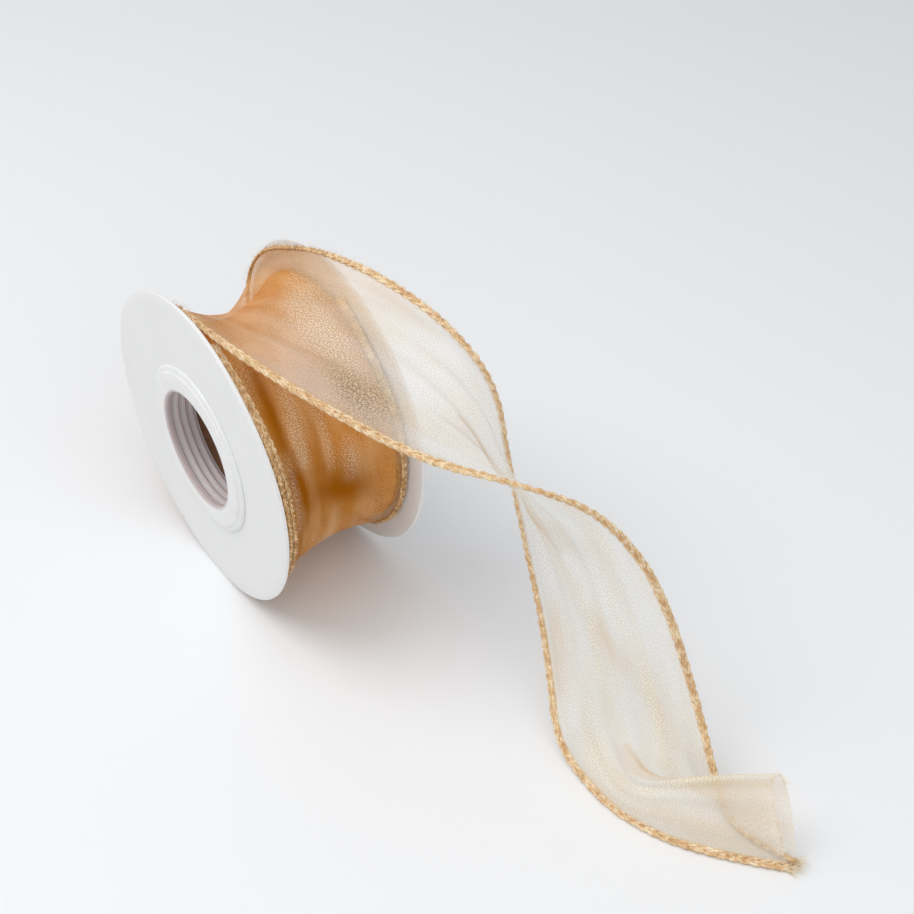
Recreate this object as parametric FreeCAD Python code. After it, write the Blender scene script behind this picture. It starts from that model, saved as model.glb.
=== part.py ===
import FreeCAD, Part
import math
import os
from FreeCAD import Vector

# A card-flanged spool of sheer edged ribbon, standing on its flanges, with the ribbon's free end
# lifted off the top, turned over once and laid on the floor in front.
# Millimetres. The origin is the middle of the bore on the spool's axis. +Y runs along the axis to
# the back flange, +X the way the free end leaves, +Z up.

# Driving dimensions
flange_radius = 45.0
flange_thickness = 1.0
flange_gap = 41.0  # between the flanges' inner faces
bore_radius = 16.7  # over the ribs inside the hub plugs
ribbon_width = 37.8  # between the middles of its two edgings
ribbon_thickness = 0.5
edging_radius = 1.1
wire_radius = 0.25
part_clearance = 0.05  # between pieces that fit together

# Hub plug
sleeve_radius = 18.2
sleeve_wall = 0.8
sleeve_depth = 7.0  # beyond the flange's inner face
lip_radius = 24.4
lip_thickness = 1.2
lip_step_radius = 22.3
lip_step_height = 0.4
mouth_depth = 1.8  # straight wall before the first rib
rib_count = 3
rib_pitch = 2.1
rib_width = 0.6

# Core tube and the tape that holds the ribbon's first turn
core_inner_radius = sleeve_radius + part_clearance
core_wall = 2.0
core_outer_radius = core_inner_radius + core_wall
tape_thickness = 0.15
tape_width = 19.0
tape_angle = 55.0

# Wound ribbon, hollow in the middle because the edgings build up faster than the cloth
roll_inner_radius = core_outer_radius + tape_thickness + 2 * part_clearance
roll_edge_radius = 36.8
roll_waist_radius = 30.0
roll_half_width = 17.9
wound_edging_width = 2.2

inner_face = flange_gap / 2
outer_face = inner_face + flange_thickness
axis = Vector(0, 1, 0)
centre = Vector(0, 0, 0)

# The ribbon's outermost turn, from under the place where the ribbon leaves the roll, down the
# front, under and up the back: angle from the top towards +X, then the radii of the front
# edging, the back edging and the waist between them.
outer_turn = [
    (15, 41.5, 40.0, 33.5),
    (48, 44.5, 40.5, 34.5),
    (81, 45.0, 40.5, 36.0),
    (114, 44.0, 40.5, 38.0),
    (147, 42.5, 41.0, 38.0),
    (180, 42.5, 41.5, 37.0),
    (213, 43.0, 42.5, 35.0),
    (246, 43.5, 44.0, 33.5),
    (279, 44.0, 45.5, 32.6),
    (312, 44.0, 46.0, 32.4),
]
# The free end: front edging, back edging, how far the middle of the cloth stands from the middle
# of the line between them, and how far the two halves belly apart where the ribbon is folded over.
free_end = [
    ((-6, -18.7, 42), (-6, 18.7, 45.5), (0, 0, -10.5), 0),
    ((8, -18.4, 42.5), (6, 19.5, 49.5), (0, 0, -6), 0),
    ((27, -14.5, 41), (22, 23, 51), (0, 0, -1.5), 0),
    ((49, -6, 36.5), (41, 29, 46.5), (1, 0, 2), 0),
    ((71, 4, 32.5), (58, 34, 35), (4, -2, 5), 0),
    ((90, 16, 33), (62, 36, 9), (4, -4, 3), 0),
    ((101, 31, 25), (73, 33, -7), (3, -3, 3), 0),
    ((110, 40, 10), (87, 28, -20), (3, -3, 3), 0),
    ((117, 44, -6), (98, 23, -32), (3, -3, 3), 0),
    ((124, 46, -23), (108, 17.5, -41), (3, -3, 4), 0),
    ((134, 44, -35), (118.5, 16, -43.8), (0, -4, 6), 0),
    ((146, 39, -43.8), (135, 16, -43.8), (-4, -6, 10), 0),
    ((157, 36, -43.8), (154, 24.5, -43.8), (-9, 1, 17), 1),
    ((169.5, 41.4, -43.8), (169.5, 39, -43.8), (-13, 4, 18), 2),
]
points_across = 11  # control points of the cloth from one edging to the other
waist_points = 13  # points of the wound cloth's outline from one edging to the other
bend_share = 0.45  # share of a straight run that the bend at each end of it may take up
edge_margin = 0.9  # the cloth stops this far short of the middle of each edging


def turn_station(angle, front_radius, back_radius, waist_radius):
    """One station of the outermost turn, in the same form as those of the free end."""
    outwards = Vector(math.sin(math.radians(angle)), 0, math.cos(math.radians(angle)))
    front = outwards * front_radius - axis * ribbon_width / 2
    back = outwards * back_radius + axis * ribbon_width / 2
    return front, back, outwards * (waist_radius - (front_radius + back_radius) / 2), 0


def ribbon_stations():
    """The stations of the outermost turn and of the free end, which meet halfway between the two."""
    turn = [turn_station(*row) for row in outer_turn]
    end = [(Vector(*front), Vector(*back), Vector(*crown), belly) for front, back, crown, belly in free_end]
    meeting = tuple((before + after) / 2 for before, after in zip(turn[-1], end[0]))
    return turn, meeting, end


def revolved(profile, angle=360):
    """A solid of revolution about the spool's axis from (radius, y) points."""
    points = [Vector(radius, y, 0) for radius, y in profile]
    return Part.Face(Part.makePolygon(points + points[:1])).revolve(centre, axis, angle)


def ring(inner, outer, start, end):
    """A plain ring about the spool's axis."""
    return revolved([(inner, start), (outer, start), (outer, end), (inner, end)])


def on_side(shape, side):
    """A piece made for the back, side +1, turned round for the front, side -1."""
    if side < 0:
        shape.rotate(centre, Vector(0, 0, 1), 180)
    return shape


def hub_plug():
    """A lipped plastic ring pushed through the card into the core, ribbed inside."""
    lip_face = outer_face + lip_thickness
    sleeve_end = inner_face - sleeve_depth
    sleeve_bore = sleeve_radius - sleeve_wall
    profile = [
        (bore_radius, lip_face),
        (lip_step_radius, lip_face),
        (lip_step_radius + lip_step_height, lip_face - lip_step_height),
        (lip_radius - lip_step_height, lip_face - lip_step_height),
        (lip_radius, lip_face - 2 * lip_step_height),
        (lip_radius, outer_face),
        (sleeve_radius, outer_face),
        (sleeve_radius, sleeve_end),
        (sleeve_bore, sleeve_end),
    ]
    first_rib = lip_face - mouth_depth - rib_pitch
    for number in reversed(range(rib_count)):
        rib = first_rib - number * rib_pitch
        profile += [(sleeve_bore, rib - rib_width), (bore_radius, rib - rib_width / 2)]
        profile += [(bore_radius, rib + rib_width / 2), (sleeve_bore, rib + rib_width)]
    profile += [(sleeve_bore, lip_face - mouth_depth - rib_width / 2), (bore_radius, lip_face - mouth_depth)]
    return revolved(profile)


def start_tape():
    """The strip of tape that holds the ribbon's first turn on the core."""
    radius = core_outer_radius + part_clearance
    profile = [(radius, -tape_width / 2), (radius + tape_thickness, -tape_width / 2),
               (radius + tape_thickness, tape_width / 2), (radius, tape_width / 2)]
    return revolved(profile, tape_angle)


def ribbon_roll():
    """The wound cloth: a barrel with a waist."""
    outline = [Vector(roll_inner_radius, -roll_half_width, 0), Vector(roll_inner_radius, roll_half_width, 0)]
    waist = []
    for number in range(waist_points):
        y = roll_half_width * (1 - 2 * number / (waist_points - 1))
        hollow = math.cos(math.pi / 2 * y / roll_half_width)
        waist.append(Vector(roll_edge_radius - (roll_edge_radius - roll_waist_radius) * hollow, y, 0))
    curve = Part.BSplineCurve()
    curve.interpolate(waist)
    edges = [Part.makeLine(*outline), Part.makeLine(outline[1], waist[0]), curve.toShape(),
             Part.makeLine(waist[-1], outline[0])]
    return Part.Face(Part.Wire(edges)).revolve(centre, axis, 360)


def wound_edging():
    """The edgings of all the wound turns, stacked beside the cloth, with a rounded rim."""
    start = roll_half_width + part_clearance
    end = start + wound_edging_width
    shoulder = roll_edge_radius - wound_edging_width / 2
    edges = [
        Part.makeLine(Vector(roll_inner_radius, start, 0), Vector(shoulder, start, 0)),
        Part.Arc(Vector(shoulder, start, 0), Vector(roll_edge_radius, (start + end) / 2, 0),
                 Vector(shoulder, end, 0)).toShape(),
        Part.makeLine(Vector(shoulder, end, 0), Vector(roll_inner_radius, end, 0)),
        Part.makeLine(Vector(roll_inner_radius, end, 0), Vector(roll_inner_radius, start, 0)),
    ]
    return Part.Face(Part.Wire(edges)).revolve(centre, axis, 360)


def smooth_path(points, name):
    """Straight runs joined by tangent arcs, each arc as large as its two runs allow."""
    edges = []
    here = points[0]
    radii = []
    for before, corner, after in zip(points, points[1:], points[2:]):
        to_before = before - corner
        to_after = after - corner
        half_turn = (math.pi - to_before.getAngle(to_after)) / 2
        reach = bend_share * min(to_before.Length, to_after.Length)
        radii.append(reach / math.tan(half_turn))
        to_before.normalize()
        to_after.normalize()
        arc_start = corner + to_before * reach
        arc_end = corner + to_after * reach
        bisector = to_before + to_after
        bisector.normalize()
        arc_middle = corner + bisector * radii[-1] * (1 / math.cos(half_turn) - 1)
        edges.append(Part.makeLine(here, arc_start))
        edges.append(Part.Arc(arc_start, arc_middle, arc_end).toShape())
        here = arc_end
    edges.append(Part.makeLine(here, points[-1]))
    print(name, "path", round(sum(edge.Length for edge in edges), 1), "mm, bends",
          " ".join(str(round(radius)) for radius in radii))
    return Part.Wire(edges)


def tube(path, radius):
    """A round rod that follows a smooth path."""
    start = path.Edges[0]
    direction = start.tangentAt(start.FirstParameter)
    section = Part.Wire(Part.makeCircle(radius, start.valueAt(start.FirstParameter), direction))
    rod = path.makePipeShell([section], True, False)
    expected = math.pi * radius ** 2 * path.Length
    print("  rod volume over section times length:", round(rod.Volume / expected, 3))
    return rod


def cloth_rows(stations):
    """Control points of the cloth's middle surface, one row across the ribbon for each station."""
    rows = []
    for front, back, crown, belly in stations:
        half = (back - front) / 2
        across = half / half.Length
        reach = 1 - edge_margin / (ribbon_width / 2)
        row = []
        for number in range(points_across):
            place = reach * (2 * number / (points_across - 1) - 1)
            row.append((front + back) / 2 + half * place + across * belly * math.sin(math.pi * place)
                       + crown * math.cos(math.pi / 2 * place))
        rows.append(row)
    return rows


def spline_face(rows):
    """A spline face with these control points, quadratic where there are three or more."""
    def knots(count, degree):
        inner = count - degree - 1
        return [degree + 1] + [1] * inner + [degree + 1], [float(k) for k in range(inner + 2)]
    degree_along = min(2, len(rows) - 1)
    degree_across = min(2, len(rows[0]) - 1)
    counts_along, knots_along = knots(len(rows), degree_along)
    counts_across, knots_across = knots(len(rows[0]), degree_across)
    surface = Part.BSplineSurface()
    surface.buildFromPolesMultsKnots(rows, counts_along, counts_across, knots_along, knots_across,
                                     False, False, degree_along, degree_across)
    return surface.toShape()


def ribbon_cloth(stations):
    """The cloth through these stations as one thin closed solid."""
    rows = cloth_rows(stations)
    last_row = len(rows) - 1
    last_place = points_across - 1
    upper, lower = [], []
    for i, row in enumerate(rows):
        upper_row, lower_row = [], []
        for j, point in enumerate(row):
            along = rows[min(i + 1, last_row)][j] - rows[max(i - 1, 0)][j]
            across = row[min(j + 1, last_place)] - row[max(j - 1, 0)]
            normal = along.cross(across)
            normal.normalize()
            upper_row.append(point + normal * ribbon_thickness / 2)
            lower_row.append(point - normal * ribbon_thickness / 2)
        upper.append(upper_row)
        lower.append(lower_row)
    faces = [spline_face(upper), spline_face(lower), spline_face([upper[0], lower[0]]),
             spline_face([upper[-1], lower[-1]])]
    for side in (0, -1):
        faces.append(spline_face([[row[side] for row in upper], [row[side] for row in lower]]))
    shell = Part.makeShell(faces)
    shell.sewShape()
    cloth = Part.Solid(shell)
    if cloth.Volume < 0:
        cloth.reverse()
    return cloth


def build():
    """Every piece of the object by node name."""
    turn, meeting, end = ribbon_stations()
    pieces = {}
    for name, side in (("front", -1), ("back", 1)):
        flange = ring(core_inner_radius, flange_radius, inner_face, outer_face)
        pieces[name + "_flange"] = on_side(flange, side)
        pieces[name + "_hub_plug"] = on_side(hub_plug(), side)
        pieces[name + "_roll_edging"] = on_side(wound_edging(), side)
    core_half = inner_face - part_clearance
    pieces["core_tube"] = ring(core_inner_radius, core_outer_radius, -core_half, core_half)
    pieces["start_tape"] = start_tape()
    pieces["ribbon_roll"] = ribbon_roll()
    pieces["outer_turn"] = ribbon_cloth(turn + [meeting])
    pieces["free_end"] = ribbon_cloth([meeting] + end)
    for name, edge in (("front", 0), ("back", 1)):
        path = smooth_path([station[edge] for station in turn + end], name + "_edging")
        channel = tube(path, wire_radius + part_clearance)
        pieces[name + "_edging"] = tube(path, edging_radius).cut(channel)
        pieces[name + "_edge_wire"] = tube(path, wire_radius)
    return pieces


os.makedirs("parts", exist_ok=True)
for node, shape in build().items():
    shape.exportStep("parts/" + node + ".step")
    print(node, "solids", len(shape.Solids), "valid", shape.isValid(), "volume", round(shape.Volume, 1))
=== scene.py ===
import bpy
import math
import random
from mathutils import Matrix, Vector, noise


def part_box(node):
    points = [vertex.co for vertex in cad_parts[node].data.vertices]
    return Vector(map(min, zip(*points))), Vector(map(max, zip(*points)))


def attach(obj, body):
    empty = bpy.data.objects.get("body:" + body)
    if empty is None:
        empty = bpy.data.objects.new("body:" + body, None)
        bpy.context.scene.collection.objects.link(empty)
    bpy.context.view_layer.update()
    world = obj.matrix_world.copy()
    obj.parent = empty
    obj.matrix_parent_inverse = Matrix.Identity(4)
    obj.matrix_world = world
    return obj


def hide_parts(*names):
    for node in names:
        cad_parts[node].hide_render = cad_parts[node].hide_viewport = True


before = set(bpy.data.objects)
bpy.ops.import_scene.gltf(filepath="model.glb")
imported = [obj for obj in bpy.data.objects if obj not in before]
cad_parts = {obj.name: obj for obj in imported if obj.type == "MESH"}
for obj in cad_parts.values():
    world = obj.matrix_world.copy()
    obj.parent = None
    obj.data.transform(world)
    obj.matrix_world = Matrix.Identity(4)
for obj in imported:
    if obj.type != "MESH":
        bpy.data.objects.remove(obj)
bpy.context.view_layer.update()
mm = 0.001
spoolAxis = Vector((0, 1, 0))
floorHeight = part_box("front_flange")[0][2]


# small tools used by every piece

def deselectAll():
    if bpy.context.mode != "OBJECT":
        bpy.ops.object.mode_set(mode="OBJECT")
    bpy.ops.object.select_all(action="DESELECT")


def makeActive(piece):
    deselectAll()
    piece.select_set(True)
    bpy.context.view_layer.objects.active = piece


def meshPiece(name, points, faces):
    mesh = bpy.data.meshes.new(name)
    mesh.from_pydata([tuple(point) for point in points], [], faces)
    mesh.update()
    piece = bpy.data.objects.new(name, mesh)
    bpy.context.scene.collection.objects.link(piece)
    return piece


def finishPiece(piece, body, slotName, material, *nodes):
    piece.data.materials.clear()
    piece.data.materials.append(material)
    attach(piece, body)
    if nodes:
        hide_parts(*nodes)


def smoothByAngle(piece, degrees=35):
    makeActive(piece)
    bpy.ops.object.shade_smooth_by_angle(angle=math.radians(degrees))
    deselectAll()


def turnRing(name, profile, steps):
    # a closed ring about the spool's axis: a circle is drawn out along the profile, then welded shut
    deselectAll()
    firstRadius, firstPlace = profile[0]
    bpy.ops.mesh.primitive_circle_add(vertices=steps, radius=firstRadius * mm, rotation=(math.pi / 2, 0, 0),
                                      location=(0, firstPlace * mm, 0))
    piece = bpy.context.object
    piece.name = name
    piece.data.name = name
    bpy.ops.object.transform_apply(location=True, rotation=True, scale=True)
    bpy.ops.object.mode_set(mode="EDIT")
    bpy.ops.mesh.select_all(action="SELECT")
    loop = list(profile) + [profile[0]]
    for (radius, place), (nextRadius, nextPlace) in zip(loop, loop[1:]):
        bpy.ops.mesh.extrude_edges_move(TRANSFORM_OT_translate={"value": (0, (nextPlace - place) * mm, 0)})
        grow = nextRadius / radius
        bpy.ops.transform.resize(value=(grow, 1, grow), center_override=(0, nextPlace * mm, 0))
    bpy.ops.mesh.select_all(action="SELECT")
    bpy.ops.mesh.remove_doubles(threshold=0.002 * mm)
    bpy.ops.mesh.normals_make_consistent(inside=False)
    bpy.ops.object.mode_set(mode="OBJECT")
    return piece


def softenEdges(piece, width, segments=2, degrees=30):
    makeActive(piece)
    bevel = piece.modifiers.new("edgeBevel", "BEVEL")
    bevel.width = width * mm
    bevel.segments = segments
    bevel.limit_method = "ANGLE"
    bevel.angle_limit = math.radians(degrees)
    bpy.ops.object.modifier_apply(modifier=bevel.name)
    deselectAll()


# materials

def newMaterial(name, colour, roughness, **sockets):
    material = bpy.data.materials.new(name)
    material.use_nodes = True
    shader = material.node_tree.nodes["Principled BSDF"]
    shader.inputs["Base Color"].default_value = (*colour, 1)
    shader.inputs["Roughness"].default_value = roughness
    for socket, value in sockets.items():
        shader.inputs[socket.replace("_", " ")].default_value = value
    return material, shader


def addNode(material, kind, settings=None, **inputs):
    node = material.node_tree.nodes.new(kind)
    for key, value in (settings or {}).items():
        setattr(node, key, value)
    for key, value in inputs.items():
        numbered = key[0] == "n" and key[1:].isdigit()  # n0, n1 and n2 are sockets by number
        socket = node.inputs[int(key[1:]) if numbered else key.replace("_", " ")]
        if hasattr(value, "is_output"):
            material.node_tree.links.new(value, socket)
        else:
            socket.default_value = value
    return node


def link(material, output, socket):
    material.node_tree.links.new(output, socket)


def colourRamp(material, factor, stops):
    node = addNode(material, "ShaderNodeValToRGB", None, Fac=factor)
    ramp = node.color_ramp
    while len(ramp.elements) < len(stops):
        ramp.elements.new(0.5)
    for element, (place, colour) in zip(ramp.elements, stops):
        element.position = place
        element.color = (*colour, 1)
    return node.outputs["Color"]


def objectCoords(material):
    return addNode(material, "ShaderNodeTexCoord").outputs["Object"]


def noiseFrom(material, coords, scale, detail, **inputs):
    node = addNode(material, "ShaderNodeTexNoise", None, Vector=coords, Scale=scale, Detail=detail, **inputs)
    return node.outputs["Fac"]


def reckonNode(material, operation, first, second, third=0.0):
    node = addNode(material, "ShaderNodeMath", {"operation": operation}, n0=first, n1=second, n2=third)
    return node.outputs[0]


def vectorNode(material, operation, first, second, output="Vector"):
    node = addNode(material, "ShaderNodeVectorMath", {"operation": operation}, n0=first, n1=second)
    return node.outputs[output]


def blendNode(material, factor, first, second):
    mixed = addNode(material, "ShaderNodeMix", {"data_type": "RGBA"}, n0=factor)
    for number, colour in ((6, first), (7, second)):  # the mix node's two colour sockets
        if hasattr(colour, "is_output"):
            link(material, colour, mixed.inputs[number])
        else:
            mixed.inputs[number].default_value = (*colour, 1)
    return mixed.outputs[2]


def bumpFrom(material, shader, height, distance, strength=1.0):
    bump = addNode(material, "ShaderNodeBump", None, Strength=strength, Distance=distance * mm, Height=height)
    link(material, bump.outputs["Normal"], shader.inputs["Normal"])


flangeCard = dict(colour=(0.84, 0.835, 0.825), fleck=(0.825, 0.82, 0.81), roughness=0.62, cloudScale=60,
                  fibreScale=1800, grain=0.05)


def flangeMaterial():
    material, shader = newMaterial("whiteCard", flangeCard["colour"], flangeCard["roughness"])
    coords = objectCoords(material)
    cloud = noiseFrom(material, coords, flangeCard["cloudScale"], 4)
    fibre = noiseFrom(material, coords, flangeCard["fibreScale"], 3)
    tone = colourRamp(material, cloud, [(0.3, flangeCard["fleck"]), (0.55, flangeCard["colour"])])
    link(material, tone, shader.inputs["Base Color"])
    bumpFrom(material, shader, fibre, flangeCard["grain"], 0.5)
    return material


# the bore tone is painted shade: the plastic turns darker and pinker inside the bore, coming in between the two
# bore radii below, in millimetres
hubPlastic = dict(colour=(0.85, 0.84, 0.83), shade=(0.82, 0.81, 0.80), bore=(0.56, 0.475, 0.475),
                  roughness=0.40, flowScale=220, ripple=0.03, boreShadeFrom=17.8, boreShadeFull=17.0)


def hubMaterial():
    material, shader = newMaterial("hubPlastic", hubPlastic["colour"], hubPlastic["roughness"],
                                   Subsurface_Weight=0.15, Subsurface_Scale=0.002)
    coords = objectCoords(material)
    flow = noiseFrom(material, coords, hubPlastic["flowScale"], 2)
    tone = colourRamp(material, flow, [(0.35, hubPlastic["shade"]), (0.65, hubPlastic["colour"])])
    flatPlace = vectorNode(material, "MULTIPLY", coords, (1, 0, 1))
    radius = vectorNode(material, "LENGTH", flatPlace, (0, 0, 0), "Value")
    # painted shade: darker, pinker plastic inside the bore
    inside = addNode(material, "ShaderNodeMapRange", None, Value=radius, From_Min=hubPlastic["boreShadeFrom"] * mm,
                     From_Max=hubPlastic["boreShadeFull"] * mm).outputs["Result"]
    link(material, blendNode(material, inside, tone, hubPlastic["bore"]), shader.inputs["Base Color"])
    bumpFrom(material, shader, flow, hubPlastic["ripple"], 0.4)
    return material


coreKraft = dict(dark=(0.19, 0.085, 0.042), light=(0.33, 0.165, 0.085), roughness=0.85, fibreScale=420,
                 grain=0.12)


def coreMaterial():
    material, shader = newMaterial("coreKraft", coreKraft["light"], coreKraft["roughness"])
    coords = objectCoords(material)
    fibre = noiseFrom(material, coords, coreKraft["fibreScale"], 6, Roughness=0.7)
    tone = colourRamp(material, fibre, [(0.3, coreKraft["dark"]), (0.7, coreKraft["light"])])
    link(material, tone, shader.inputs["Base Color"])
    bumpFrom(material, shader, fibre, coreKraft["grain"], 0.7)
    return material


startTape = dict(colour=(0.72, 0.62, 0.42), dark=(0.62, 0.52, 0.33), light=(0.76, 0.67, 0.47), roughness=0.35,
                 crinkleScale=300, crinkle=0.05)


def tapeMaterial():
    material, shader = newMaterial("startTape", startTape["colour"], startTape["roughness"])
    coords = objectCoords(material)
    crinkle = noiseFrom(material, coords, startTape["crinkleScale"], 3)
    tone = colourRamp(material, crinkle, [(0.35, startTape["dark"]), (0.65, startTape["light"])])
    link(material, tone, shader.inputs["Base Color"])
    bumpFrom(material, shader, crinkle, startTape["crinkle"], 0.6)
    return material


woundCloth = dict(deep=(0.46, 0.165, 0.004), mid=(0.68, 0.28, 0.016), light=(0.95, 0.56, 0.16),
                  roughness=0.40, specular=0.12, cloudScale=70, glintScale=2400, grain=0.14)


def woundMaterial():
    material, shader = newMaterial("woundOrganza", woundCloth["mid"], woundCloth["roughness"],
                                   Specular_IOR_Level=woundCloth["specular"])
    coords = objectCoords(material)
    cloud = noiseFrom(material, coords, woundCloth["cloudScale"], 4)
    stretched = addNode(material, "ShaderNodeMapping", None, Vector=coords, Scale=(1, 0.35, 1))
    glint = noiseFrom(material, stretched.outputs["Vector"], woundCloth["glintScale"], 2)
    # the fine glint noise paints glitter highlights into the colour as bright specks, over the cloud's random tone
    both = reckonNode(material, "MULTIPLY_ADD", glint, 0.7, cloud)
    stops = [(0.62, woundCloth["deep"]), (0.85, woundCloth["mid"]), (1.0, woundCloth["light"])]
    link(material, colourRamp(material, both, stops), shader.inputs["Base Color"])
    bumpFrom(material, shader, glint, woundCloth["grain"], 0.8)
    return material


# the roll tones are painted shade on the edging where it lies on the roll, darker and browner; it leaves the roll
# this many millimetres along
edgingYarn = dict(dark=(0.60, 0.35, 0.15), mid=(0.82, 0.56, 0.30), light=(0.93, 0.78, 0.54), roughness=0.75,
                  rollShadeDark=(0.32, 0.14, 0.032), rollShadeMid=(0.62, 0.35, 0.12), rollShadeLight=(0.90, 0.66, 0.36),
                  leaves=252, fade=24, cloudScale=620, strandScale=2600, grain=0.12)


def yarnMaterial(name, settings):
    material, shader = newMaterial(name, settings["mid"], settings["roughness"], Sheen_Weight=0.3)
    coords = objectCoords(material)
    cloud = noiseFrom(material, coords, settings["cloudScale"], 3)
    strand = noiseFrom(material, coords, settings["strandScale"], 3)
    both = reckonNode(material, "MULTIPLY_ADD", strand, 0.7, cloud)

    def ramp(dark, mid, light):
        stops = [(0.6, settings[dark]), (0.85, settings[mid]), (1.0, settings[light])]
        return colourRamp(material, both, stops)

    tone, rollShaded = ramp("dark", "mid", "light"), ramp("rollShadeDark", "rollShadeMid", "rollShadeLight")
    # painted shade: where the edging lies on the roll it takes the darker, browner roll tones
    rollShade = addNode(material, "ShaderNodeAttribute", {"attribute_name": "rollShade"}).outputs["Fac"]
    link(material, blendNode(material, rollShade, tone, rollShaded), shader.inputs["Base Color"])
    bumpFrom(material, shader, strand, settings["grain"], 0.8)
    return material


wireMetal = dict(dark=(0.5, 0.36, 0.18), colour=(0.62, 0.47, 0.26), roughness=0.35, drawnScale=900)


def wireMaterial():
    material, shader = newMaterial("edgeWire", wireMetal["colour"], wireMetal["roughness"], Metallic=1.0)
    coords = objectCoords(material)
    drawn = noiseFrom(material, coords, wireMetal["drawnScale"], 2)
    tone = colourRamp(material, drawn, [(0.3, wireMetal["dark"]), (0.7, wireMetal["colour"])])
    link(material, tone, shader.inputs["Base Color"])
    return material


# sheer organza: golden where it lies on the roll, cream along the free end; soft strokes on the cloth carry
# painted shade along its creases and in its deep places, painted satin highlights and the dark shimmer where two
# layers cross; lengths are in millimetres
organza = dict(turnDark=(0.78, 0.37, 0.06), turnLight=(1.0, 0.66, 0.29), freeDark=(0.97, 0.86, 0.67),
               freeLight=(1.0, 0.98, 0.91), creaseShadeTone=(0.70, 0.44, 0.18), paintedShadeTone=(0.46, 0.155, 0.001),
               highlightTone=(1.0, 0.93, 0.72), veilDark=(0.16, 0.10, 0.038), veilLight=(0.76, 0.58, 0.36),
               turnAlpha=0.70, edgeAlpha=0.36, freeAlpha=0.47, edgeFrom=11, edgeFull=16, roughness=0.42,
               turnSpecular=0.12, freeSpecular=0.3, thread=0.32, glow=0.45, leaveStart=226, leaveEnd=300,
               slubScale=2.5, glintScale=3.2, shimmerScale=2.0, cloudScale=0.17)


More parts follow.
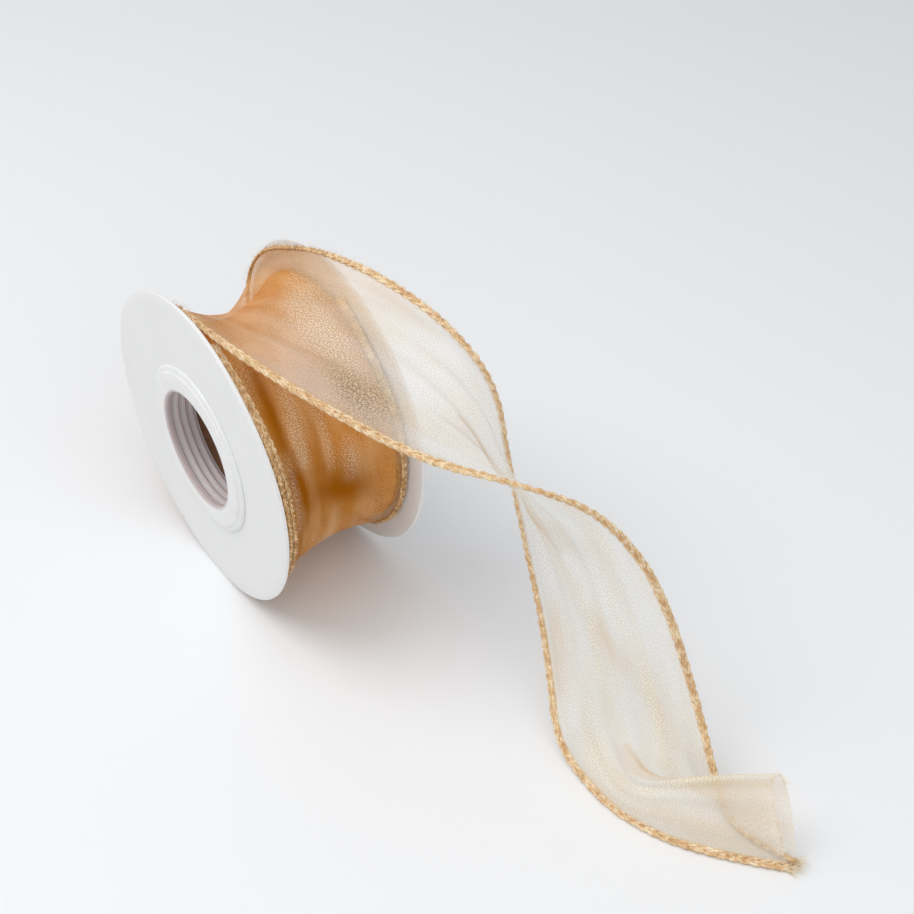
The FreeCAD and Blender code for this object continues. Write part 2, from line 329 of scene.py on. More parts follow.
def organzaMaterial():
    material, shader = newMaterial("sheerOrganza", organza["freeLight"], organza["roughness"])
    flat = addNode(material, "ShaderNodeUVMap", {"uv_map": "flatCloth"}).outputs["UV"]
    parts = addNode(material, "ShaderNodeSeparateXYZ", None, Vector=flat)
    across, along = parts.outputs["X"], parts.outputs["Y"]
    strokes = {name: addNode(material, "ShaderNodeAttribute", {"attribute_name": name}).outputs["Fac"]
               for name in ("creaseShade", "gleamHighlight", "veil", "deep")}

    def reckon(operation, first, second, third=0.0):
        return reckonNode(material, operation, first, second, third)

    def flatNoise(coords, scale, detail):
        return addNode(material, "ShaderNodeTexNoise", {"noise_dimensions": "2D"}, Vector=coords, Scale=scale,
                       Detail=detail).outputs["Fac"]

    def remap(value, fromMin, fromMax, toMin, toMax):
        return addNode(material, "ShaderNodeMapRange", None, Value=value, From_Min=fromMin, From_Max=fromMax,
                       To_Min=toMin, To_Max=toMax).outputs["Result"]

    def blend(factor, first, second):
        return blendNode(material, factor, first, second)

    warp = reckon("SINE", reckon("MULTIPLY", across, 2 * math.pi / organza["thread"]), 0.0)
    weft = reckon("SINE", reckon("MULTIPLY", along, 2 * math.pi / organza["thread"]), 0.0)
    weave = reckon("MAXIMUM", warp, weft)
    slub, glint = flatNoise(flat, organza["slubScale"], 3), flatNoise(flat, organza["glintScale"], 2)
    drawn = addNode(material, "ShaderNodeMapping", None, Vector=flat, Scale=(1, 0.2, 1)).outputs["Vector"]
    cloud = flatNoise(drawn, organza["cloudScale"], 4)
    leaving = addNode(material, "ShaderNodeMapRange", {"interpolation_type": "SMOOTHSTEP"}, Value=along,
                      From_Min=organza["leaveStart"], From_Max=organza["leaveEnd"]).outputs["Result"]
    # colour: the cloth's own tone, then painted shade in its deep places and along its creases, painted highlights
    # and the shimmer
    tone = reckon("MULTIPLY_ADD", slub, 0.35, cloud)
    turnTone = colourRamp(material, tone, [(0.50, organza["turnDark"]), (0.85, organza["turnLight"])])
    freeTone = colourRamp(material, tone, [(0.50, organza["freeDark"]), (0.80, organza["freeLight"])])
    worn = blend(leaving, turnTone, freeTone)
    # painted shade: the deep strokes darken the cloth to a deep brown orange, as in the valley beside the front
    # edging
    shadeDarkened = blend(strokes["deep"], worn, organza["paintedShadeTone"])
    # painted shade along the creases; the same strokes also sink the cloth and make it denser
    creaseShaded = blend(strokes["creaseShade"], shadeDarkened, organza["creaseShadeTone"])
    # painted highlights: the gleam strokes, specked by the slub noise, lighten the cloth to a pale gold
    spark = remap(slub, 0.50, 0.60, 0.06, 1.0)
    highlightShare = reckon("MULTIPLY", strokes["gleamHighlight"], spark)
    highlighted = blend(highlightShare, creaseShaded, organza["highlightTone"])
    veilStops = [(0.42, organza["veilDark"]), (0.60, organza["veilLight"])]
    shimmer = colourRamp(material, flatNoise(flat, organza["shimmerScale"], 2), veilStops)
    colour = blend(strokes["veil"], highlighted, shimmer)
    link(material, colour, shader.inputs["Base Color"])
    # cover: thinner towards the back edging of the turn, denser along the creases, in the painted shade and under
    # the painted highlights
    turnAlpha = remap(across, organza["edgeFrom"], organza["edgeFull"], organza["turnAlpha"],
                      organza["edgeAlpha"])
    alpha = remap(leaving, 0.0, 1.0, turnAlpha, organza["freeAlpha"])
    grain = reckon("MULTIPLY_ADD", weave, 0.06, alpha)
    specked = reckon("MULTIPLY_ADD", reckon("SUBTRACT", slub, 0.5), 0.36, grain)
    bunched = reckon("MULTIPLY_ADD", reckon("ADD", strokes["creaseShade"], strokes["deep"]), 0.32, specked)
    veiled = reckon("MULTIPLY_ADD", strokes["veil"], 0.3, bunched)
    cover = reckon("MINIMUM", reckon("MULTIPLY_ADD", highlightShare, 0.45, veiled), 0.97)
    link(material, remap(glint, 0.35, 0.7, 0.55, 0.22), shader.inputs["Roughness"])
    matt = reckon("MULTIPLY_ADD", strokes["deep"], -0.9, 1.0)
    specular = remap(leaving, 0.0, 1.0, organza["turnSpecular"], organza["freeSpecular"])
    link(material, reckon("MULTIPLY", matt, specular), shader.inputs["Specular IOR Level"])
    bumpFrom(material, shader, glint, 0.06, 0.7)
    # light comes through the threads from behind, and straight through the gaps between them
    glow = addNode(material, "ShaderNodeBsdfTranslucent", None, Color=colour)
    threads = addNode(material, "ShaderNodeMixShader", None, Fac=organza["glow"], n1=shader.outputs[0],
                      n2=glow.outputs[0])
    gaps = addNode(material, "ShaderNodeBsdfTransparent")
    sheer = addNode(material, "ShaderNodeMixShader", None, Fac=cover, n1=gaps.outputs[0],
                    n2=threads.outputs[0])
    link(material, sheer.outputs[0], material.node_tree.nodes["Material Output"].inputs["Surface"])
    return material


# the stacked wound edgings are painted darker and browner than the free edging: painted shade where they lie
# against the flanges
shadedWoundYarn = dict(edgingYarn, dark=(0.26, 0.105, 0.022), mid=(0.46, 0.22, 0.06), light=(0.68, 0.41, 0.16))
frayedYarn = dict(edgingYarn, dark=(0.70, 0.50, 0.28), mid=(0.86, 0.70, 0.46), light=(0.94, 0.84, 0.64))
materials = dict(card=flangeMaterial(), hub=hubMaterial(), core=coreMaterial(), tape=tapeMaterial(),
                 wound=woundMaterial(), yarn=yarnMaterial("edgingYarn", edgingYarn),
                 shadedWoundYarn=yarnMaterial("shadedWoundYarn", shadedWoundYarn), fray=yarnMaterial("frayedYarn", frayedYarn),
                 wire=wireMaterial(), organza=organzaMaterial())
print("materials made:", len(materials))


# flanges: card discs, faintly dished, with a crushed edge

flangeShape = dict(rimRadius=45.0, holeRadius=18.25, inner=20.5, outer=21.5, dish=0.5, steps=288,
                   edgeRound=0.22)


def makeFlange(name, side):
    rim, hole = flangeShape["rimRadius"], flangeShape["holeRadius"]
    inner, outer = flangeShape["inner"], flangeShape["outer"]
    rings = [hole + (rim - hole) * step / 8 for step in range(9)]
    profile = [(radius, inner) for radius in rings] + [(radius, outer) for radius in reversed(rings)]
    flange = turnRing(name, profile, flangeShape["steps"])
    softenEdges(flange, flangeShape["edgeRound"])
    for vertex in flange.data.vertices:
        place = vertex.co
        radius = math.hypot(place.x, place.z)
        reach = max(0, (radius / mm - hole) / (rim - hole))
        wave = noise.noise(Vector((place.x * 25, 3 * side, place.z * 25)))
        place.y += flangeShape["dish"] * mm * reach ** 2 * wave
        if side < 0:
            place.y = -place.y
            place.x = -place.x
    smoothByAngle(flange, 30)
    finishPiece(flange, "spool", "flange_card", materials["card"], name.replace("Card", "_flange"))


for flangeName, flangeSide in (("frontCard", -1), ("backCard", 1)):
    makeFlange(flangeName, flangeSide)
print("flanges made")


# hub plugs: lipped rings with a ribbed sleeve

plugShape = dict(bore=16.7, sleeveBore=17.4, sleeve=18.2, lip=24.4, step=22.3, stepDown=0.4, lipFace=22.7,
                 cardFace=21.5, sleeveEnd=13.5, mouth=1.8, ribPitch=2.1, ribs=3, ribHalf=0.5, ribRound=0.12,
                 edgeRound=0.12, steps=224)


def makePlug(name, side):
    bore, sleeveBore, sleeve = plugShape["bore"], plugShape["sleeveBore"], plugShape["sleeve"]
    lip, step, face = plugShape["lip"], plugShape["step"], plugShape["lipFace"]
    cardFace, sleeveEnd = plugShape["cardFace"], plugShape["sleeveEnd"]
    lowFace, mouth = face - plugShape["stepDown"], face - plugShape["mouth"]
    half, crest = plugShape["ribHalf"], bore + plugShape["ribRound"]
    profile = [(bore + 0.5, face), (step, face), (step + 0.3, lowFace), (lip - 0.5, lowFace - 0.05),
               (lip, lowFace - 0.45), (lip, cardFace), (sleeve, cardFace), (sleeve, sleeveEnd),
               (sleeveBore, sleeveEnd)]
    for number in reversed(range(plugShape["ribs"])):
        rib = mouth - plugShape["ribPitch"] * (number + 1)
        profile += [(sleeveBore, rib - half), (crest, rib - half / 2), (bore, rib), (crest, rib + half / 2),
                    (sleeveBore, rib + half)]
    profile += [(sleeveBore, mouth - 0.4), (bore, mouth), (bore, face - 0.5)]
    plug = turnRing(name, profile, plugShape["steps"])
    softenEdges(plug, plugShape["edgeRound"], 2, 25)
    if side < 0:
        plug.data.transform(Matrix.Rotation(math.pi, 4, "Z"))
    smoothByAngle(plug, 40)
    finishPiece(plug, "spool", "hub_plastic", materials["hub"], name.replace("Plug", "_hub_plug"))


for plugName, plugSide in (("frontPlug", -1), ("backPlug", 1)):
    makePlug(plugName, plugSide)
print("hub plugs made")


# core tube: spiral-wound kraft card, with the seam of its plies

coreShape = dict(inner=18.25, outer=20.25, half=20.45, steps=192, seamTurns=1.5, seamDepth=0.12,
                 seamWidth=0.06, between=19.2)


def makeCore():
    rings = [coreShape["half"] * (step / 20 * 2 - 1) for step in range(21)]
    profile = [(coreShape["outer"], place) for place in rings]
    profile += [(coreShape["inner"], place) for place in reversed(rings)]
    core = turnRing("coreTube", profile, coreShape["steps"])
    for vertex in core.data.vertices:
        place = vertex.co
        slant = place.y / (coreShape["half"] * mm) * math.pi * coreShape["seamTurns"]
        angle = math.atan2(place.z, place.x) + slant
        seam = math.exp(-(math.remainder(angle, 2 * math.pi) / coreShape["seamWidth"]) ** 2)
        radius = math.hypot(place.x, place.z)
        outside = 1 if radius > coreShape["between"] * mm else -1
        grow = 1 - outside * seam * coreShape["seamDepth"] * mm * 0.4 / radius
        place.x *= grow
        place.z *= grow
    smoothByAngle(core, 40)
    finishPiece(core, "spool", "core_kraft", materials["core"], "core_tube")


makeCore()
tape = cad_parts["start_tape"]
tape.data.materials.clear()
tape.data.materials.append(materials["tape"])
print("core made")


# wound ribbon: a waisted barrel of cloth, puckered in from both edgings

rollShape = dict(inner=20.5, edge=36.8, waist=30.0, half=17.9, rings=44, steps=320, pucker=0.55, ply=0.12)


def makeRoll():
    half, edge, waist, rings = rollShape["half"], rollShape["edge"], rollShape["waist"], rollShape["rings"]
    places = [half * (1 - 2 * step / rings) for step in range(rings + 1)]
    profile = [(edge - (edge - waist) * math.cos(math.pi / 2 * place / half), place) for place in places]
    profile += [(rollShape["inner"], -half), (rollShape["inner"], half)]
    roll = turnRing("woundRibbon", profile, rollShape["steps"])
    for vertex in roll.data.vertices:
        place = vertex.co
        radius = math.hypot(place.x, place.z)
        if radius < waist * mm:
            continue
        turn = Vector((place.x / radius, place.z / radius, 0))
        fromEdge = half - abs(place.y / mm)
        side = 5 if place.y > 0 else -5
        pucker = noise.noise(Vector((turn.x * 5.5, turn.y * 5.5, side + fromEdge / 16)))
        plies = noise.noise(Vector((turn.x * 0.8, turn.y * 0.8, place.y / mm * 0.9)))
        lift = -abs(pucker) * rollShape["pucker"] * math.exp(-fromEdge / 9) + plies * rollShape["ply"]
        grow = 1 + min(0, lift) * mm / radius
        place.x *= grow
        place.z *= grow
    smoothByAngle(roll, 60)
    finishPiece(roll, "spool", "wound_cloth", materials["wound"], "ribbon_roll")


makeRoll()


# wound edging: the stacked stitched edges of the wound turns, one plump ridge for each turn

stackShape = dict(inner=20.5, start=17.95, end=20.15, turns=8, outer=36.8, steps=360, ridge=0.55, stitch=3.4,
                  stitchDepth=0.45, stitchFrom=18.6)


def makeStack(name, side):
    inner, outer, start, end = (stackShape[key] for key in ("inner", "outer", "start", "end"))
    pitch = (outer - inner) / stackShape["turns"]
    profile = []
    for number in range(stackShape["turns"]):
        low = inner + pitch * number
        for part in (0.02, 0.25, 0.5, 0.75, 0.98):
            bulge = stackShape["ridge"] * math.sin(math.pi * part)
            profile.append((low + pitch * part, end - stackShape["ridge"] + bulge))
    profile += [(outer - 0.05, end - 0.9), (outer, end - 1.2), (outer - 0.2, start + 0.3),
                (outer - 0.8, start), (inner, start)]
    stack = turnRing(name, profile, stackShape["steps"])
    for vertex in stack.data.vertices:
        place = vertex.co
        radius = math.hypot(place.x, place.z)
        ring = int((radius / mm - inner) / pitch)
        stitches = max(1, round(2 * math.pi * (inner + pitch * (ring + 0.5)) / stackShape["stitch"]))
        angle = math.atan2(place.z, place.x)
        bead = math.cos(angle * stitches + ring * 1.7)
        stitched = 1 if place.y > stackShape["stitchFrom"] * mm else 0
        place.y -= (0.5 - 0.5 * bead) * stackShape["stitchDepth"] * mm * stitched
        if side < 0:
            place.y = -place.y
            place.x = -place.x
    smoothByAngle(stack, 60)
    finishPiece(stack, "spool", "wound_edging", materials["shadedWoundYarn"], name.replace("Stack", "_roll_edging"))


for stackName, stackSide in (("frontStack", -1), ("backStack", 1)):
    makeStack(stackName, stackSide)
print("wound ribbon made")


# the ribbon that stays with the free end

# outermost turn: angle from the top towards the free end, radii of front edging, back edging and waist
outerTurn = [
    (15, 41.5, 40.0, 33.5),
    (48, 44.5, 40.5, 34.5),
    (81, 45.0, 40.5, 36.0),
    (114, 44.0, 40.5, 38.0),
    (147, 42.5, 41.0, 38.0),
    (180, 42.5, 41.5, 37.0),
    (213, 43.0, 42.5, 35.0),
    (246, 43.5, 44.0, 33.5),
    (279, 44.0, 45.5, 32.6),
    (312, 44.0, 46.0, 32.4),
]
# free end: front edging, back edging, the cloth's middle measured from halfway between them, and how far the
# two halves of a folded stretch belly out
freeEnd = [
    ((-6, -18.7, 42), (-6, 18.7, 45.5), (0, 0, -10.5), 0),
    ((8, -18.4, 42.5), (6, 19.5, 49.5), (0, 0, -6), 0),
    ((27, -14.5, 41), (22, 23, 51), (0, 0, -1.5), 0),
    ((49, -6, 36.5), (41, 29, 46.5), (1, 0, 2), 0),
    ((71, 4, 32.5), (58, 34, 35), (4, -2, 5), 0),
    ((90, 16, 33), (62, 36, 9), (4, -4, 3), 0),
    ((101, 31, 25), (73, 33, -7), (3, -3, 3), 0),
    ((110, 40, 10), (87, 28, -20), (3, -3, 3), 0),
    ((117, 44, -6), (98, 23, -32), (3, -3, 3), 0),
    ((124, 46, -23), (108, 17.5, -41), (3, -3, 4), 0),
    ((134, 44, -35), (118.5, 16, -43.8), (0, -4, 6), 0),
    ((146, 39, -43.8), (135, 16, -43.8), (-4, -6, 10), 0),
    ((157, 36, -43.8), (154, 24.5, -43.8), (-9, 1, 17), 1),
    ((169.5, 41.4, -43.8), (169.5, 39, -43.8), (-13, 4, 18), 2),
]
ribbonShape = dict(width=37.8, rowsPerStation=40, across=60, margin=0.5, turnPucker=0.55, freePucker=0.22,
                   foldDepth=2.1, creaseDepth=0.75)


def turnStation(angle, frontRadius, backRadius, waistRadius):
    outwards = Vector((math.sin(math.radians(angle)), 0, math.cos(math.radians(angle))))
    half = spoolAxis * ribbonShape["width"] / 2
    crown = outwards * (waistRadius - (frontRadius + backRadius) / 2)
    return outwards * frontRadius - half, outwards * backRadius + half, crown, 0


def splinePoints(name, controls):
    # points read evenly from one smooth NURBS line through a row of control points
    curve = bpy.data.curves.new(name, "CURVE")
    curve.dimensions = "3D"
    curve.resolution_u = ribbonShape["rowsPerStation"]
    spline = curve.splines.new("NURBS")
    spline.points.add(len(controls) - 1)
    for point, place in zip(spline.points, controls):
        point.co = (*(Vector(place) * mm), 1)
    spline.order_u = 3
    spline.use_endpoint_u = True
    carrier = bpy.data.objects.new(name, curve)
    bpy.context.scene.collection.objects.link(carrier)
    mesh = bpy.data.meshes.new_from_object(carrier)
    points = [vertex.co.copy() for vertex in mesh.vertices]
    bpy.data.objects.remove(carrier)
    bpy.data.meshes.remove(mesh)
    return points


stations = [turnStation(*row) for row in outerTurn]
stations += [tuple(Vector(place) for place in row[:3]) + (row[3],) for row in freeEnd]
frontLine = splinePoints("frontLine", [station[0] for station in stations])
backLine = splinePoints("backLine", [station[1] for station in stations])
crownLine = splinePoints("crownLine", [station[2] for station in stations])
bellyLine = splinePoints("bellyLine", [(station[3], 0, 0) for station in stations])
rowCount = len(frontLine)
print("rows along the ribbon:", rowCount)


def runningLength(line):
    lengths = [0.0]
    for before, after in zip(line, line[1:]):
        lengths.append(lengths[-1] + (after - before).length)
    return lengths


alongFront = runningLength(frontLine)
alongBack = runningLength(backLine)
print("edging lengths mm:", round(alongFront[-1] / mm, 1), round(alongBack[-1] / mm, 1))


def clothRow(row, places):
    front, back, crown = frontLine[row], backLine[row], crownLine[row]
    belly = bellyLine[row].x
    half = (back - front) / 2
    across = half.normalized()
    return [(front + back) / 2 + half * place + across * belly * math.sin(math.pi * place)
            + crown * math.cos(math.pi / 2 * place) for place in places]


# soft strokes on the flat cloth, painting shade along the creases and in the deep places, satin highlights and the
# shimmer:
# start and end as (along, across), half width and strength; all but the strength in millimetres
clothStrokes = dict(
    creaseShade=[((319, 0), (344, 1), 0.9, 0.9), ((318, -3), (344, -2), 3.0, 0.35), ((350, 9), (368, 2), 0.9, 0.45),
            ((350, 6), (372, -3), 3.0, 0.35), ((386, 1), (404, -3), 2.4, 0.4), ((380, 13), (404, 15), 3.2, 0.35),
            ((404, -5), (436, -14), 2.6, 0.25), ((428, 1), (449, -3), 0.9, 0.6), ((426, 4), (449, 0), 2.6, 0.4),
            ((440, 12), (475, 17), 3.0, 0.3), ((452, -16), (476, -9), 6.0, 0.45), ((452, 2), (474, 8), 4.0, 0.35),
            ((276, 16), (300, 14), 2.0, 0.35)],
    deep=[((6, -11), (40, -14), 2.6, 0.95), ((40, -14), (110, -15), 2.2, 0.8), ((46, -9), (60, 11), 8.0, 1.0),
          ((20, 12), (44, 15), 2.6, 0.6), ((34, -11), (58, -11), 1.4, 0.5), ((26, -2), (44, -3), 1.2, 0.4),
          ((225, -12), (262, -15), 2.0, 0.4)],
    gleamHighlight=[((247, 12), (285, -5), 3.8, 1.0), ((285, -5), (300, -15), 4.0, 0.6), ((258, 6), (275, -2), 7.0, 0.4),
           ((344, 8), (372, 12), 2.6, 0.4), ((372, -3), (396, -6), 2.2, 0.45), ((382, 2), (406, 4), 1.3, 0.7),
           ((406, -8), (436, -9), 1.6, 0.7), ((410, 9), (446, 14), 2.6, 0.5), ((446, 8), (474, -4), 1.8, 0.9),
           ((455, 1), (477, -1), 2.4, 0.6), ((14, -5), (38, -8), 2.4, 1.0), ((26, -8), (38, -9), 2.0, 0.8),
           ((24, 1), (44, 0), 1.7, 0.9), ((38, 6), (50, 5), 2.6, 0.9), ((74, -4), (104, -10), 6.0, 0.5),
           ((34, -14), (56, -15), 1.5, 0.8), ((60, 12), (76, 13), 4.0, 0.4), ((2, -13), (16, -16), 2.4, 0.5)],
    veil=[((286, -9), (303, -15), 4.6, 0.75), ((262, 9), (288, 0), 1.4, 0.25), ((296, -6), (306, -12), 3.0, 0.35)],
)


def strokeValue(strokes, along, across):
    total = 0.0
    for (startAlong, startAcross), (endAlong, endAcross), width, strength in strokes:
        runAlong, runAcross = endAlong - startAlong, endAcross - startAcross
        length = math.hypot(runAlong, runAcross)
        share = ((along - startAlong) * runAlong + (across - startAcross) * runAcross) / length ** 2
        if -0.4 < share < 1.4:
            held = min(1, max(0, share))
            away = math.hypot(along - startAlong - held * runAlong, across - startAcross - held * runAcross)
            total += strength * math.exp(-(away / width) ** 2) * (0.55 + 0.45 * math.sin(math.pi * held))
    return min(1.0, total)


def clothLift(along, across, fromEdge, free):
    # puckers that fade away from the edgings, slow swells and, on the free end, long folds
    side = 7 if across > 0 else -7
    ripple = noise.noise(Vector((along / 3.6 + side * fromEdge / 60, fromEdge / 22, side)))
    swell = noise.noise(Vector((along / 14, across / (ribbonShape["width"] / 2) * 1.6, 3)))
    fold = noise.noise(Vector((along / 40 + 9, across / 4.2, 12)))
    size = ribbonShape["turnPucker"] * (1 - free) + ribbonShape["freePucker"] * free
    pucker = ripple * size * math.exp(-fromEdge / 8) * min(1, fromEdge / 1.5)
    return pucker + (swell * size + free * ribbonShape["foldDepth"] * fold) * min(1, fromEdge / 4)


def makeCloth():
    count = ribbonShape["across"]
    reach = 1 - ribbonShape["margin"] / (ribbonShape["width"] / 2)
    places = [reach * (2 * number / count - 1) for number in range(count + 1)]
    grid = [clothRow(row, places) for row in range(rowCount)]
    points = []
    flat = []
    strokes = {name: [] for name in clothStrokes}
    leaving = len(outerTurn) * ribbonShape["rowsPerStation"]
    for i, row in enumerate(grid):
        along = (alongFront[i] + alongBack[i]) / 2 / mm
        free = min(1, max(0, (i - leaving) / (2.5 * ribbonShape["rowsPerStation"])))
        for j, point in enumerate(row):
            down = grid[min(i + 1, rowCount - 1)][j] - grid[max(i - 1, 0)][j]
            over = row[min(j + 1, count)] - row[max(j - 1, 0)]
            normal = down.cross(over).normalized()
            across = places[j] * ribbonShape["width"] / 2
            fromEdge = (1 - abs(places[j])) * ribbonShape["width"] / 2
            for name, rows in clothStrokes.items():
                strokes[name].append(strokeValue(rows, along, across))
            sunk = ribbonShape["creaseDepth"] * free * strokes["creaseShade"][-1] * min(1, fromEdge / 3)
            place = point + normal * (clothLift(along, across, fromEdge, free) - sunk) * mm
            points.append(Vector((place.x, place.y, max(place.z, floorHeight + 0.3 * mm))))
            flat.append((across, along))
    wide = count + 1
    faces = [(i * wide + j, i * wide + j + 1, (i + 1) * wide + j + 1, (i + 1) * wide + j)
             for i in range(rowCount - 1) for j in range(count)]
    cloth = meshPiece("freeRibbon", points, faces)
    layer = cloth.data.uv_layers.new(name="flatCloth")
    for corner in cloth.data.loops:
        layer.data[corner.index].uv = flat[corner.vertex_index]
    for name, values in strokes.items():
        attribute = cloth.data.attributes.new(name=name, type="FLOAT", domain="POINT")
        attribute.data.foreach_set("value", values)
    for face in cloth.data.polygons:
        face.use_smooth = True
    finishPiece(cloth, "ribbon_end", "sheer_cloth", materials["organza"], "outer_turn", "free_end")
    return cloth


cloth = makeCloth()
print("cloth made")


# stitched edging: four yarns plaited round a straight core cord, each a twist of plies, with loose fibres

plaitShape = dict(strands=4, core=0.34, settles=60, yarnRadius=0.38, sideways=0.73, upDown=0.32, period=11.2,
                  rolledSize=0.64, rolledPeriod=5.6, sides=8, plies=3, plyTwist=2.8, plyDepth=0.26, step=0.3,
                  fibresPerLength=5.0, fibreLength=2.2, fibreWidth=0.04)


def edgeFrames(line, other):
    # even steps along the edging with the direction into the cloth and across it
    frames = []
    lengths = runningLength(line)
    step = plaitShape["step"] * mm
    count = int(lengths[-1] / step)
    row = 0
    for number in range(count + 1):
        wanted = lengths[-1] * number / count
        while row < len(line) - 2 and lengths[row + 1] < wanted:
            row += 1
        share = (wanted - lengths[row]) / max(1e-9, lengths[row + 1] - lengths[row])
        place = line[row].lerp(line[row + 1], share)
        tangent = (line[min(row + 2, len(line) - 1)] - line[max(row - 1, 0)]).normalized()
        facing = (other[row] - line[row]).normalized() * 20 * mm + crownLine[row] * 1.3
        inwards = (facing - tangent * facing.dot(tangent)).normalized()
        frames.append((place, tangent, inwards, tangent.cross(inwards), wanted / mm))
    return frames


def rolledShare(along):
    # one where the edging lies on the roll, nothing along the free end
    leaving = min(1.0, max(0.0, (edgingYarn["leaves"] - along) / edgingYarn["fade"] + 0.5))
    return leaving * min(1.0, 0.1 + along / plaitShape["settles"])


def addStrand(strand, frames, seed, points, faces, rollShade):
    sides = plaitShape["sides"]
    start = len(points)
    turned, before = strand / plaitShape["strands"], 0.0
    isCore = strand == plaitShape["strands"]
    for place, tangent, inwards, upwards, along in frames:
        held = rolledShare(along)
        size = 1 + (plaitShape["rolledSize"] - 1) * held
        period = plaitShape["period"] + (plaitShape["rolledPeriod"] - plaitShape["period"]) * held
        turned += (along - before) / period
        before = along
        drift = noise.noise(Vector((along / 5, strand * 9, seed)))
        phase = 2 * math.pi * turned + drift * 0.5
        slack = size * (1 + 0.25 * noise.noise(Vector((along / 3, strand * 5, seed + 4))))
        crossing = inwards * plaitShape["sideways"] * slack * math.sin(phase)
        crossing += upwards * plaitShape["upDown"] * math.sin(2 * phase)
        middle = place if isCore else place + crossing * mm
        thickness = plaitShape["core"] if isCore else plaitShape["yarnRadius"]
        for side in range(sides):
            angle = 2 * math.pi * side / sides
            lay = plaitShape["plies"] * (angle - plaitShape["plyTwist"] * along)
            radius = thickness * size * mm * (1 + plaitShape["plyDepth"] * math.cos(lay))
            points.append(middle + (inwards * math.cos(angle) + upwards * math.sin(angle)) * radius)
            rollShade.append(held)
    for number in range(len(frames) - 1):
        low = start + number * sides
        for side in range(sides):
            after = (side + 1) % sides
            faces.append((low + side, low + after, low + sides + after, low + sides + side))
    faces.append(tuple(start + side for side in reversed(range(sides))))
    last = start + (len(frames) - 1) * sides
    faces.append(tuple(last + side for side in range(sides)))


def addFibre(draw, frames, points, faces, rollShade):
    place, tangent, inwards, upwards, along = frames[draw.randrange(2, len(frames) - 2)]
    angle = draw.uniform(0, 2 * math.pi)
    outwards = inwards * math.cos(angle) + upwards * math.sin(angle) * 0.75
    heading = (outwards + tangent * draw.uniform(-1.6, 1.6)).normalized()
    bend = Vector([draw.uniform(-1, 1) for axis in range(3)]) * 0.6
    length = plaitShape["fibreLength"] * mm * draw.uniform(0.35, 1.0)
    here = place + outwards * 0.75 * mm
    broad = heading.cross(outwards + tangent * 0.3).normalized() * plaitShape["fibreWidth"] * mm
    start = len(points)
    for part in range(4):
        thin = 1 - part * 0.25
        points.append(here - broad * thin)
        points.append(here + broad * thin)
        rollShade += [rolledShare(along) * 0.6] * 2
        here = here + heading * length / 3
        heading = (heading + bend * 0.4).normalized()
    for part in range(3):
        low = start + part * 2
        faces.append((low, low + 1, low + 3, low + 2))


def makeEdging(name, line, other, seed, *nodes):
    draw = random.Random(seed)
    frames = edgeFrames(line, other)
    points, faces, rollShade = [], [], []
    for strand in range(plaitShape["strands"] + 1):  # the last one is the core cord
        addStrand(strand, frames, seed, points, faces, rollShade)
    for number in range(int(frames[-1][4] * plaitShape["fibresPerLength"])):
        addFibre(draw, frames, points, faces, rollShade)
    points = [Vector((point.x, point.y, max(point.z, floorHeight + 0.05 * mm))) for point in points]
    edging = meshPiece(name, points, faces)
    # the share of painted shade rides on each point of the edging
    edging.data.attributes.new(name="rollShade", type="FLOAT", domain="POINT").data.foreach_set("value", rollShade)
    for face in edging.data.polygons:
        face.use_smooth = True
    finishPiece(edging, "ribbon_end", "edging_yarn", materials["yarn"], *nodes)
    return edging


frontEdging = makeEdging("frontPlait", frontLine, backLine, 11, "front_edging")
backEdging = makeEdging("backPlait", backLine, frontLine, 23, "back_edging")

# the turn beneath shows its front edging beside that of the outermost turn
beneath = dict(inwards=1.7, lift=0.35, wobble=0.45, mergeRows=60)


def beneathLine():
    count = len(outerTurn) * ribbonShape["rowsPerStation"]
    points = []
    for row in range(count):
        merge = min(1, (count - row) / beneath["mergeRows"], (row + 12) / beneath["mergeRows"])
        wander = noise.noise(Vector((row / 26, 4, 8))) * beneath["wobble"]
        inwards = (beneath["inwards"] + wander) * (0.25 + 0.75 * merge)
        place = clothRow(row, [inwards / (ribbonShape["width"] / 2) - 1])[0]
        outwards = Vector((place.x, 0, place.z)).normalized()
        points.append(place + outwards * (beneath["lift"] + 0.3 * wander) * mm)
    return points


lowerEdging = makeEdging("frontLowerPlait", beneathLine(), backLine, 37)
edgingFaces = [len(piece.data.polygons) for piece in (frontEdging, backEdging, lowerEdging)]
print("edging made:", sum(edgingFaces), "faces")


# the frayed cut end: loose threads of both edgings and of the cloth between them

frayShape = dict(yarnThreads=80, clothThreads=140, yarnLength=4.6, clothLength=2.2, width=0.085, seed=5)


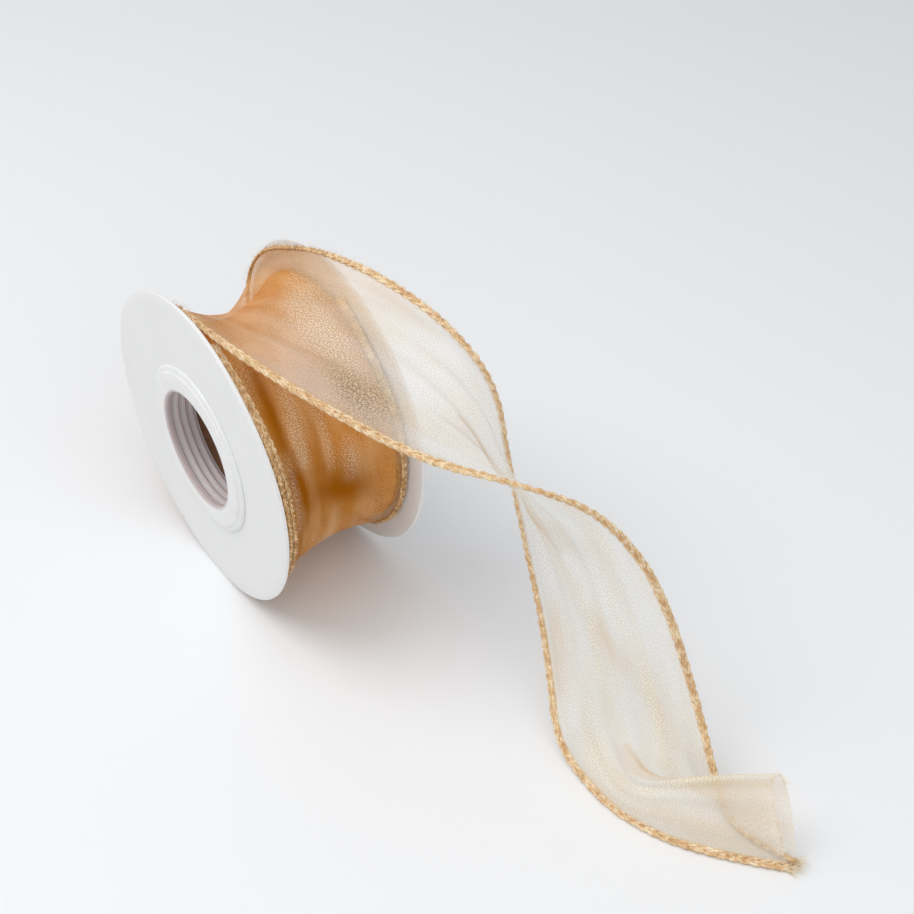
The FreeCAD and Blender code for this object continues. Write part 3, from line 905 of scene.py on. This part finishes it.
def makeFrays():
    draw = random.Random(frayShape["seed"])
    points, faces = [], []

    def thread(here, heading, length, width):
        broad = heading.cross(Vector((draw.uniform(-1, 1), draw.uniform(-1, 1), 1))).normalized() * width * mm
        bend = Vector([draw.uniform(-1, 1) for axis in range(3)]) * 0.35
        start = len(points)
        for part in range(6):
            thin = 1 - part * 0.16
            low = max(here.z, floorHeight + 0.06 * mm)
            here = Vector((here.x, here.y, low))
            points.append(here - broad * thin)
            points.append(here + broad * thin)
            here = here + heading * length * mm / 5
            heading = (heading + bend * 0.5).normalized()
        for part in range(5):
            low = start + part * 2
            faces.append((low, low + 1, low + 3, low + 2))

    for line in (frontLine, backLine):
        ahead = (line[-1] - line[-8]).normalized()
        for number in range(frayShape["yarnThreads"]):
            spread = Vector([draw.gauss(0, 0.55) for axis in range(3)])
            begin = line[-1] - ahead * draw.uniform(0, 1.6) * mm
            begin += Vector([draw.gauss(0, 0.4) for axis in range(3)]) * mm
            length = frayShape["yarnLength"] * draw.uniform(0.3, 1)
            thread(begin, (ahead + spread).normalized(), length, frayShape["width"])
    for number in range(frayShape["clothThreads"]):
        place = draw.uniform(-0.96, 0.96)
        end, before = clothRow(rowCount - 1, [place])[0], clothRow(rowCount - 12, [place])[0]
        ahead = ((end - before).normalized() + Vector([draw.gauss(0, 0.3) for axis in range(3)])).normalized()
        length = frayShape["clothLength"] * draw.uniform(0.3, 1)
        thread(end - ahead * 0.4 * mm, ahead, length, frayShape["width"] * 0.7)
    points = [Vector((point.x, point.y, max(point.z, floorHeight + 0.03 * mm))) for point in points]
    frays = meshPiece("endFrays", points, faces)
    finishPiece(frays, "ribbon_end", "edging_yarn", materials["fray"])
    return frays


endFrays = makeFrays()
print("frayed end made")


# edge wires: a fine wire inside each edging

wireShape = dict(radius=0.2, sides=6, rowStep=5)


def makeWire(name, line, other):
    points, faces = [], []
    sides = wireShape["sides"]
    rows = range(0, len(line), wireShape["rowStep"])
    for row in rows:
        tangent = (line[min(row + 1, len(line) - 1)] - line[max(row - 1, 0)]).normalized()
        facing = other[row] - line[row]
        inwards = (facing - tangent * facing.dot(tangent)).normalized()
        upwards = tangent.cross(inwards)
        for side in range(sides):
            angle = 2 * math.pi / sides * side
            reach = inwards * math.cos(angle) + upwards * math.sin(angle)
            points.append(line[row] + reach * wireShape["radius"] * mm)
    for number in range(len(rows) - 1):
        low = number * sides
        for side in range(sides):
            after = (side + 1) % sides
            faces.append((low + side, low + after, low + sides + after, low + sides + side))
    faces.append(tuple(reversed(range(sides))))
    faces.append(tuple((len(rows) - 1) * sides + side for side in range(sides)))
    wire = meshPiece(name, points, faces)
    finishPiece(wire, "ribbon_end", "edge_wire", materials["wire"], name.replace("Wire", "_edge_wire"))
    return wire


frontWire = makeWire("frontWire", frontLine, backLine)
backWire = makeWire("backWire", backLine, frontLine)

print("free ribbon made")


# floor, light and camera

paleFloor = dict(size=6, colour=(0.86, 0.865, 0.875), roughness=0.6)
lights = dict(
    windowLight=dict(place=(-0.33, -0.42, 0.76), aim=(0.05, 0.0, -0.03), size=0.7, power=3.95,
                     colour=(1.0, 0.995, 0.985)),
    ceilingLight=dict(place=(0.22, -0.12, 1.1), aim=(0.05, 0, -0.02), size=1.0, power=2.0,
                      colour=(0.985, 0.995, 1.0)),
    rightFill=dict(place=(0.64, -0.12, 0.47), aim=(0.06, 0, -0.02), size=0.8, power=1.5,
                   colour=(0.99, 0.995, 1.0)),
)
paleRoom = dict(colour=(0.955, 0.975, 1.0), strength=0.50)


def makeFloor():
    deselectAll()
    bpy.ops.mesh.primitive_plane_add(size=paleFloor["size"], location=(0, 0, floorHeight))
    floor = bpy.context.object
    floor.name = "paleFloor"
    material, shader = newMaterial("paleFloor", paleFloor["colour"], paleFloor["roughness"])
    floor.data.materials.append(material)
    deselectAll()


def addLight(name, place, aim, size, power, colour):
    lamp = bpy.data.lights.new(name, "AREA")
    lamp.shape = "DISK"
    lamp.size = size
    lamp.energy = power
    lamp.color = colour
    carrier = bpy.data.objects.new(name, lamp)
    bpy.context.scene.collection.objects.link(carrier)
    carrier.location = place
    carrier.rotation_euler = (Vector(aim) - Vector(place)).to_track_quat("-Z", "Y").to_euler()


def lightRoom():
    world = bpy.data.worlds.new("paleRoom")
    world.use_nodes = True
    background = world.node_tree.nodes["Background"]
    background.inputs["Color"].default_value = (*paleRoom["colour"], 1)
    background.inputs["Strength"].default_value = paleRoom["strength"]
    bpy.context.scene.world = world
    bpy.context.scene.view_settings.view_transform = "Standard"


makeFloor()
for lightName, lightShape in lights.items():
    addLight(lightName, **lightShape)
lightRoom()

cameraSet = dict(place=(0.2899, -0.1455, 0.2634), look=(-0.6123, 0.4432, -0.6547), lens=59.08, sensor=36,
                 clipStart=0.01)
lensData = bpy.data.cameras.new("viewCamera")
lensData.lens = cameraSet["lens"]
lensData.sensor_width = cameraSet["sensor"]
lensData.clip_start = cameraSet["clipStart"]
camera = bpy.data.objects.new("viewCamera", lensData)
bpy.context.scene.collection.objects.link(camera)
camera.location = cameraSet["place"]
camera.rotation_euler = Vector(cameraSet["look"]).to_track_quat("-Z", "Y").to_euler()
bpy.context.scene.camera = camera
print("stage made")
